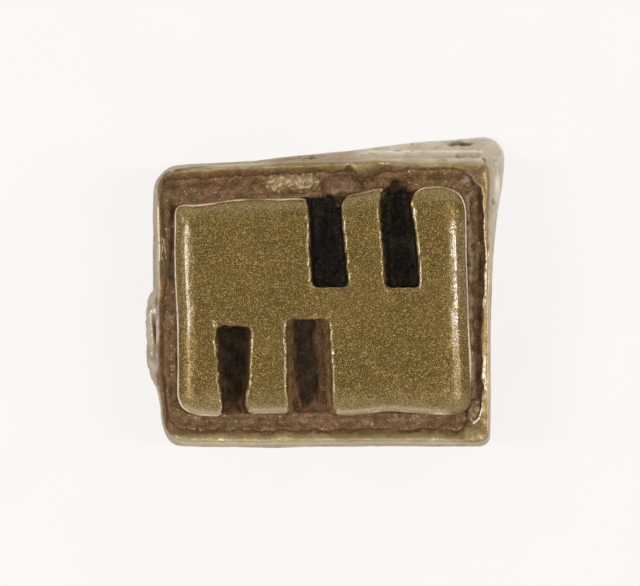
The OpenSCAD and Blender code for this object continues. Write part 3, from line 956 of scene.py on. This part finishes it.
def make_casting(material):
    """Cuts the cast skin into the block and the strips of its rim."""
    skin = Skin()
    skin.note_earth()
    skin.note_wear_and_painted_light()
    skin.note_dirt()
    skin.note_highlight_lines()
    seam = (0.0, 0.0, SEAM_Z)
    place("base_block", cut(skin.mesh, [(seam, (0.0, 0.0, 1.0))]), material)
    ring = cut(skin.mesh, [(seam, (0.0, 0.0, -1.0))])
    back = wedge(BACK_RIGHT, BACK_LEFT)
    joint = (RIM_JOINT_X, 0.0, 0.0)
    sectors = {
        "rim_front": wedge(FRONT_LEFT, FRONT_RIGHT),
        "rim_left": wedge(BACK_LEFT, FRONT_LEFT),
        "rim_right": wedge(FRONT_RIGHT, BACK_RIGHT),
        "rim_back_left": back + [(joint, (1.0, 0.0, 0.0))],
        "rim_back_right": back + [(joint, (-1.0, 0.0, 0.0))],
    }
    for node, planes in sectors.items():
        strip = cut(ring, planes)
        keep_largest(strip)
        place(node, strip, material)
    bpy.data.meshes.remove(ring)
    bpy.data.meshes.remove(skin.mesh)


def tablet_shape():
    """The uneven tablet, each vertex's depth from 0 to 1, and whether it lies outside the slots."""
    mesh = remeshed("tablet", "tablet")
    foot = read(mesh)[:, 2] < FLOOR_Z + 0.06
    relax(mesh, 3)
    co = push(read(mesh), TABLET_PUSHES)
    depth = (TABLET_Z - co[:, 2]) / (TABLET_Z - FLOOR_Z)
    outer = ~on_slots(co, SLOTS, 0.08)
    co[:, 2] -= 0.08 * ramp(6.4, 8.4, co[:, 0]) * ramp(0.5, -2.0, co[:, 1]) * (depth < 0.6)
    tuck = outer * 0.12 * ramp(0.4, 0.75, depth)
    co[:, :2] -= normals_of(mesh)[:, :2] * tuck[:, None]
    write(mesh, co)
    swell(mesh, layers(co, (0.03, 2.6, 11), (0.012, 0.8, 12), (0.006, 0.3, 13)))
    co = read(mesh)
    ragged = 0.45 * on_slots(co, SLOTS, 0.1)
    ragged += 0.8 * (on_slots(co, ["front_left"], 0.1) & (co[:, 0] < -5.0) & (co[:, 2] > 6.6))
    deep = ramp(TABLET_Z - 0.15, TABLET_Z - 0.6, co[:, 2])
    ragged += deep * (on_slots(co, ["back_right"], 0.1) & (co[:, 0] < 4.4))
    swell(mesh, ragged * layers(co, (0.1, 0.42, 14), (0.06, 0.2, 15)))
    co = read(mesh)
    pits = 0.09 * np.clip(layers(co, (1.0, 0.35, 17), (0.4, 0.16, 18)) - 0.72, 0.0, 0.5)
    swell(mesh, -pits * (co[:, 2] > TABLET_Z - 0.6))
    co = read(mesh)
    co[foot, 2] = FLOOR_Z
    write(mesh, co)
    return mesh, depth, outer


def note_tablet_dirt(mesh, depth, outer):
    """Notes the soot and brown in the tablet's slots, and the earth around its foot."""
    co = read(mesh)
    along = in_slot_frame(co, "back_right")[0]
    cleared = on_slots(co, ["back_right"], 0.1) * ramp(0.84, 0.95, along)
    soot = ~outer * ramp(0.06, 0.3, depth + 0.06 * waves(co, 0.4, 19))
    note(mesh, "soot", soot * (1.0 - cleared))
    umber = np.zeros(len(co))
    for name, share in WALL_BROWNS.items():
        umber = np.maximum(umber, share * on_slots(co, [name], 0.1))
    note(mesh, "umber", umber)
    note(mesh, "earth", outer * ramp(0.6, 0.85, depth + 0.08 * waves(co, 0.5, 16)))
    note(mesh, "gilt", ~outer)


def note_tablet_gloss(mesh):
    """Notes the tablet's pale front and back, patina and painted reflection, and its polished sides."""
    co = read(mesh)
    upward = normals_of(mesh)[:, 2]
    beside = outside_tablet(co)
    wander = layers(co, (0.3, 0.8, 21), (0.15, 0.3, 22))
    back = ramp(-1.1, -0.2, beside["back"] + wander)
    front = ramp(-1.6, -0.4, beside["front"] + wander)
    note(mesh, "patina_and_reflection", np.maximum(back, front) * ramp(0.5, 0.9, upward))
    sides = ramp(-1.25, -0.85, np.maximum(beside["left"], beside["right"]) + 0.5 * wander)
    along = co[:, 1] + 1.5 * wander
    ends = ramp(4.9, 3.9, along) * (0.12 + 0.88 * ramp(-3.6, -0.4, along))
    glossy = sides * ends * np.where(co[:, 0] < 0.0, 0.62, 1.0)
    slot_edges = on_slots(co, SLOTS, 0.25) * ramp(0.99, 0.96, upward)
    note(mesh, "polish", np.maximum(glossy, slot_edges))


def note_tablet_edges(mesh, depth, outer):
    """Notes the painted highlight line around the tablet, partly worn edge, and the painted highlights on
    its rims.
    """
    co = read(mesh)
    x, y = co[:, :2].T
    upward = normals_of(mesh)[:, 2]
    flanks = ramp(7.2, 7.8, np.abs(x))
    start = 0.56 - 0.03 * (x > 0.0) * flanks + (0.2 - 0.15 * flanks) * waves(co, 1.4, 24)
    start += 0.07 * ramp(7.2, 7.8, x) * ramp(0.0, -2.0, y)
    note(mesh, "turn", upward - start)
    faded = 1.0 - 0.8 * ramp(-4.0, -5.0, y) * ramp(6.6, 7.4, x)
    patchy = 1.0 - (0.5 - 0.3 * flanks) * ramp(0.2, -0.3, waves(co, 1.3, 23))
    upper = outer * ramp(0.6, 0.45, depth)
    strength = faded * patchy * (0.9 + 0.1 * flanks)
    # Painted highlight line along the tablet's upper edge, partly worn brass
    note(mesh, "wear_and_highlight", upper * ramp(0.16, 0.34, upward) * strength)
    # Painted highlights on the slot rims, and a painted pale sheen along the front edge
    edge_highlights = 0.5 * ramp(0.004, 0.014, convexity(mesh, 1)) * (depth < 0.3)
    edge_highlights *= ramp(-0.1, 0.4, waves(co, 0.7, 20))
    bloom = ramp(-0.9, -0.2, outside_tablet(co)["front"]) * ramp(0.96, 0.7, upward)
    note(mesh, "edge_highlights", np.maximum(edge_highlights, 0.3 * faded * bloom * upper))


def make_tablet(material):
    """The slotted tablet with the notes for its material."""
    mesh, depth, outer = tablet_shape()
    note_tablet_dirt(mesh, depth, outer)
    note_tablet_gloss(mesh)
    note_tablet_edges(mesh, depth, outer)
    place("tablet", mesh, material)


def beside_wall(co, name):
    """How near points lie to a slot's walls, from 0 in its middle to 1."""
    along, side, half = in_slot_frame(co, name)
    away = np.abs(side - BANKS[name][2]) / (half * (1.0 - 0.5 * ramp(0.6, 1.0, along)))
    return ramp(0.5, 1.3, away + 0.3 * waves(co, 0.7, 36))


def mouth_fill(co, name):
    """How high the remains rise towards the crust at the mouth of a slot."""
    rise = 0.3 if name.startswith("back") else 0.62
    return rise * ramp(0.78, 1.0, in_slot_frame(co, name)[0] + 0.08 * waves(co, 0.5, 38))


def browning(co, name):
    """How brown the remains in a slot are."""
    along = in_slot_frame(co, name)[0] + 0.15 * waves(co, 0.5, 37)
    if name == "front_left":
        return 0.22 + 0.7 * ramp(0.5, 0.95, along)
    if name == "front_right":
        walls = ramp(0.3, 0.7, beside_wall(co, name))
        walls *= np.where(co[:, 0] < -0.75, 1.0, 0.6 + 0.4 * ramp(0.3, 0.75, along))
        return 0.26 + 0.7 * np.maximum(walls, ramp(0.8, 0.95, along))
    return 0.12 * ramp(0.1, 0.5, waves(co, 0.7, 35))


def make_residues(material):
    """Granular remains in the slots, banked up at the walls."""
    for number, name in enumerate(SLOTS):
        node = "slot_residue_" + name
        mesh = remeshed("residue", node)
        relax(mesh, 2)
        co = read(mesh)
        facing = normals_of(mesh)
        height, spread, _ = BANKS[name]
        held = 1.0 - ramp(0.92, 1.08, in_slot_frame(co, name)[0])
        reach = spread * (1.0 + 0.9 * waves(co, 0.5, 29)) * held
        co[:, :2] += reach[:, None] * facing[:, :2]
        note(mesh, "umber", browning(co, name))
        lumps = layers(co, (0.1, 0.6, 21 + number), (0.06, 0.22, 31 + number))
        bank = beside_wall(co, name) * (height + 0.2 * waves(co, 0.8, 26 + number))
        rise = 0.06 + lumps + np.maximum(bank, mouth_fill(co, name))
        co[:, 2] += ramp(-0.2, 0.3, facing[:, 2]) * rise
        write(mesh, co)
        place(node, mesh, material)


def crevice(co, side):
    """Where a dark crevice runs between the crust and the rim, from 0 to 1."""
    along = run_of(co, side)
    first, last = CREVICES[side]
    reach = ramp(first - 0.5, first, along) * ramp(last + 0.5, last, along)
    return reach * ramp(-0.35, 0.15, waves(co, 1.1, 44))


def crust_climb(co, beside):
    """How far the crust climbs against the rim and the tablet, less its crevices."""
    climb = np.zeros(len(co))
    for side, depth in depths_inside(co).items():
        from_rim = depth - RIM_WIDTHS[side] + 0.08 * waves(co, 0.6, 45)
        climb += CRUST_CLIMBS[side] * np.exp(-((np.maximum(from_rim, 0.0) / 0.42) ** 2))
        climb -= 0.34 * crevice(co, side) * np.exp(-(((from_rim - 0.1) / 0.08) ** 2))
    climb *= 1.0 - spot(co, (8.95, -7.35), (0.7, 0.7)) - spot(co, (8.9, 7.2), (0.8, 0.8))
    ranked = np.sort(list(beside.values()), axis=0)
    along_edge = ramp(-0.3, -1.3, ranked[-2])
    for side, away in beside.items():
        near = TABLET_CLIMBS[side] * np.exp(-((away / 0.22) ** 2))
        climb += np.where(away == ranked[-1], along_edge * near, 0.0)
    return climb


def make_crust(material):
    """The lumpy crust on the channel floor, banked up against the walls."""
    mesh = remeshed("crust", "channel_crust")
    keep_largest(mesh)
    relax(mesh, 2)
    co = read(mesh)
    facing = normals_of(mesh)
    co[:, :2] += 0.28 * facing[:, :2]
    beside = outside_tablet(co)
    climb = crust_climb(co, beside)
    co = push_corners(push(co, CASTING_PUSHES))
    lip = ramp(1.1, 0.7, np.abs(co[:, 0] - 4.3)) * ramp(6.9, 6.1, co[:, 1]) * (co[:, 1] > 5.6)
    co[:, 1] += lip * (0.12 + 0.3 * waves(co, 0.4, 49))
    lumps = layers(co, (0.12, 1.0, 41), (0.13, 0.45, 42), (0.07, 0.2, 43))
    mouths = sum(spot(co, middle, radii) for middle, radii in SOOTY_MOUTHS)
    soot = ramp(0.25, 1.0, mouths + layers(co, (0.45, 0.4, 46), (0.3, 0.16, 47)))
    rise = 0.03 + climb + lumps - 0.12 * soot - 0.15 * lip
    co[:, 2] += ramp(0.0, 0.6, facing[:, 2]) * rise
    write(mesh, co)
    note(mesh, "soot", 0.9 * soot)
    film = 0.9 * ramp(0.35, 0.05, np.abs(beside["right"]))
    note(mesh, "film", np.maximum(film, 0.15 * ramp(0.1, 0.3, beside["front"])))
    # Painted shade: darker crust in the back of the left channel and beside the right rim
    dim = ramp(-8.0, -8.3, co[:, 0]) * ramp(-1.0, 1.5, co[:, 1])
    dim += ramp(8.6, 8.8, co[:, 0])
    note(mesh, "shade", 0.6 * dim * ramp(-0.5, 0.3, waves(co, 0.8, 48)))
    place("channel_crust", mesh, material)


def make_beads(material):
    """The beads of spilled metal, each with its own wrinkles."""
    for node, (seed, red, glint_strength, wrinkle, stretch) in BEADS.items():
        mesh = remeshed("bead", node)
        relax(mesh, 5)
        co = read(mesh)
        middle = (*co[:, :2].mean(0), FLOOR_Z)
        co = push(middle + (co - middle) * stretch, CASTING_PUSHES + BEAD_PUSHES)
        write(mesh, co)
        folds = layers(co, (0.14, 0.7, seed), (0.07, 0.3, seed + 1), (0.03, 0.14, seed + 2))
        swell(mesh, 0.06 + wrinkle * folds)
        note(mesh, "red", np.full(len(co), red))
        # Painted glints where the bead bulges
        note(mesh, "wear_and_highlight", glint_strength * ramp(0.002, 0.008, convexity(mesh, 1)))
        place(node, mesh, material)


def make_stub(material):
    """The rough pad of the sprue on the left flank, with a crease behind its lip."""
    low, high = [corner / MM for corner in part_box("sprue_stub")]
    mesh = remeshed("stub", "sprue_stub")
    relax(mesh, 3)
    co = read(mesh)
    along = (2.0 * co[:, 1] - low.y - high.y) / (high.y - low.y)
    lens = np.sqrt(np.clip(1.0 - along**2, 0.0, 1.0))
    waist = 0.5 * (low.z + high.z)
    co[:, 0] = high.x + (co[:, 0] - high.x) * (0.3 + lens)
    co[:, 2] = waist + (co[:, 2] - waist) * (0.5 + 0.55 * lens)
    write(mesh, co)
    swell(mesh, layers(co, (0.16, 1.1, 61), (0.08, 0.45, 62), (0.025, 0.2, 63)))
    co = read(mesh)
    crease = spot(co, (-9.5 + 0.06 * np.sin(2.0 * co[:, 1]), -1.8), (0.1, 0.8))
    depth = 0.2 * crease * ramp(0.2, 0.7, normals_of(mesh)[:, 2])
    co[:, 2] -= depth
    write(mesh, co)
    bend = convexity(mesh, 1)
    upward = ramp(-0.1, 0.6, normals_of(mesh)[:, 2])
    stained = ramp(-1.6, -3.2, co[:, 1]) * ramp(-0.4, 0.4, waves(co, 0.7, 64))
    note(mesh, "earth", 0.5 * stained)
    # Painted light: the stub is paler and greyer where it faces up
    note(mesh, "rubbed_and_painted_light", 0.25 + 0.65 * upward)
    note(mesh, "ashen_and_painted_light", 0.3 + 0.7 * upward)
    hollows = 0.8 * ramp(0.04, 0.2, depth) + ramp(0.003, 0.01, -bend)
    note(mesh, "dirt", np.clip(hollows, 0.0, 1.0))
    # Worn bumps, with painted glints
    note(mesh, "wear_and_highlight", 0.25 * ramp(0.003, 0.012, bend))
    for name in ("soot", "umber"):
        note(mesh, name, np.zeros(len(co)))
    place("sprue_stub", mesh, material)


def make_floor():
    """A wide pale floor, lit from itself so that only a soft shadow is left."""
    mesh = bpy.data.meshes.new("floor")
    corners = [(x * FLOOR_HALF, y * FLOOR_HALF, 0.0) for x, y in ((-1, -1), (1, -1), (1, 1), (-1, 1))]
    mesh.from_pydata(corners, [], [(0, 1, 2, 3)])
    mat = Shade("floor_paper")
    colour = mat.mix(mat.noise(6.0, detail=3.0), (249, 246, 243), (251, 248, 246))
    mat.set(Base_Color=colour, Roughness=0.9, Specular_IOR_Level=0.0)
    path = mat.node("LightPath").outputs
    seen = mat.math("MAXIMUM", path["Is Camera Ray"], path["Is Glossy Ray"])
    seen = mat.math("MAXIMUM", seen, path["Is Transmission Ray"])
    glow = mat.node("Emission", {"Color": colour}).outputs["Emission"]
    sockets = {"Fac": mat.times(seen, FLOOR_GLOW), 1: mat.body.outputs["BSDF"], 2: glow}
    mat.feed(mat.out.inputs["Surface"], mat.node("MixShader", sockets).outputs["Shader"])
    mesh.materials.append(mat.material)
    floor = add_object("floor", mesh)


def add_softbox(name, azimuth, off_zenith, size, radiance):
    """A rectangular soft light that faces the weight."""
    lamp = bpy.data.lights.new(name, "AREA")
    lamp.shape = "RECTANGLE"
    lamp.size = size[0]
    lamp.size_y = size[1]
    lamp.energy = radiance * math.pi * size[0] * size[1]
    turn = math.radians(azimuth)
    tilt = math.radians(off_zenith)
    way = Vector((math.sin(tilt) * math.cos(turn), math.sin(tilt) * math.sin(turn), math.cos(tilt)))
    holder = add_object(name, lamp)
    holder.location = way * BOX_DISTANCE
    holder.rotation_euler = (-way).to_track_quat("-Z", "Y").to_euler()
    holder.visible_camera = False


def make_light():
    """Even studio light, paler towards the horizon, with a soft box on either side."""
    world = bpy.data.worlds.new("studio")
    world.use_nodes = True
    tree = world.node_tree
    coords = tree.nodes.new("ShaderNodeTexCoord")
    split = tree.nodes.new("ShaderNodeSeparateXYZ")
    level = tree.nodes.new("ShaderNodeMapRange")
    level.inputs["To Min"].default_value = HORIZON_LIGHT
    level.inputs["To Max"].default_value = ZENITH_LIGHT
    background = tree.nodes["Background"]
    background.inputs["Color"].default_value = LIGHT_COLOUR
    tree.links.new(coords.outputs["Generated"], split.inputs["Vector"])
    tree.links.new(split.outputs["Z"], level.inputs["Value"])
    tree.links.new(level.outputs["Result"], background.inputs["Strength"])
    bpy.context.scene.world = world
    for name, settings in SOFT_BOXES.items():
        add_softbox(name, *settings)


def make_camera():
    """A long lens straight above, framed as the photograph is."""
    lens = bpy.data.cameras.new("camera")
    lens.sensor_width = SENSOR_WIDTH
    lens.lens = FOCAL_LENGTH
    camera = add_object("camera", lens)
    camera.location = Vector(CAMERA_PLACE) * MM
    bpy.context.scene.camera = camera


make_camera()
make_light()
make_floor()
brass = cast_brass()
make_casting(brass)
make_stub(brass)
make_tablet(tablet_brass())
make_residues(charcoal_residue())
make_crust(earth_crust())
make_beads(bead_brass())

bpy.context.scene.view_settings.view_transform = "Standard"
